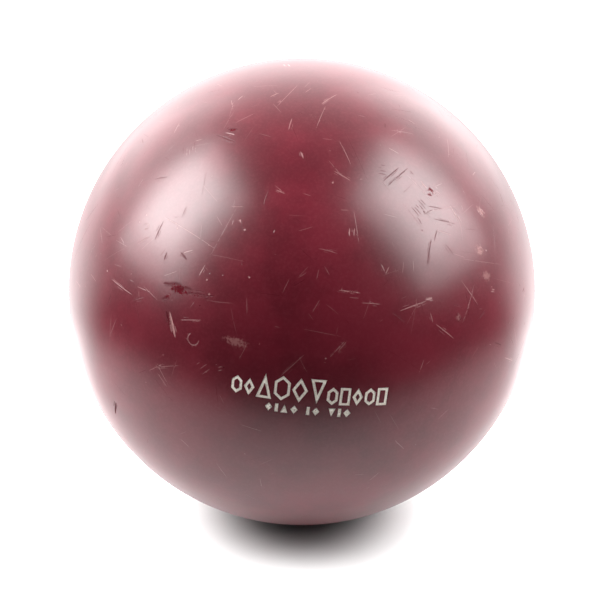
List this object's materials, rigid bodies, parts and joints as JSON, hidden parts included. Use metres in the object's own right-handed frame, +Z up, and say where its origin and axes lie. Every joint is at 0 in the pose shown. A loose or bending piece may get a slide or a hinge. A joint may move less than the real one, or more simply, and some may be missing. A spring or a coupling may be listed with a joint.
{
  "type": "bowling ball",
  "caption": "Hard seamless drilled ball with a gloss cover over a weighted core, two lined finger holes, a lined thumb hole and an engraved, paint-filled mark.",
  "frame": {"origin": "the centre of the ball; the floor is touched one radius below it", "axes": "+Z up, -Y out through the engraved mark, the grip's middle facing -X and +Y equally"},
  "size_m": [0.2172, 0.2172, 0.2172],
  "materials": {
    "cover": "worn burgundy urethane, polished but covered in fine scratches, scuffs and a few gouges",
    "core": "cast grey filler, matt and faintly speckled",
    "block": "dense dark filled resin, matt",
    "pin": "cream resin plug, sanded flush with the cover",
    "insert": "soft charcoal vinyl, satin, with a rounded lip",
    "slug": "charcoal urethane, satin, with a rounded lip",
    "mark_paint": "cream-white filler paint, matt, slightly soiled"
  },
  "bodies": {
    "root": {"coverstock": "cover", "inner_core": "core", "weight_block": "block", "core_pin": "pin", "finger_insert_upper": "insert", "finger_insert_lower": "insert", "thumb_slug": "slug", "mark_fill_01": "mark_paint", "mark_fill_02": "mark_paint", "mark_fill_03": "mark_paint", "mark_fill_04": "mark_paint", "mark_fill_05": "mark_paint", "mark_fill_06": "mark_paint", "mark_fill_07": "mark_paint", "mark_fill_08": "mark_paint", "mark_fill_09": "mark_paint", "mark_fill_10": "mark_paint", "mark_fill_11": "mark_paint", "mark_fill_12": "mark_paint", "mark_fill_13": "mark_paint", "mark_fill_14": "mark_paint", "mark_fill_15": "mark_paint", "mark_fill_16": "mark_paint", "mark_fill_17": "mark_paint", "mark_fill_18": "mark_paint", "mark_fill_19": "mark_paint", "mark_fill_20": "mark_paint"}
  },
  "joints": []
}
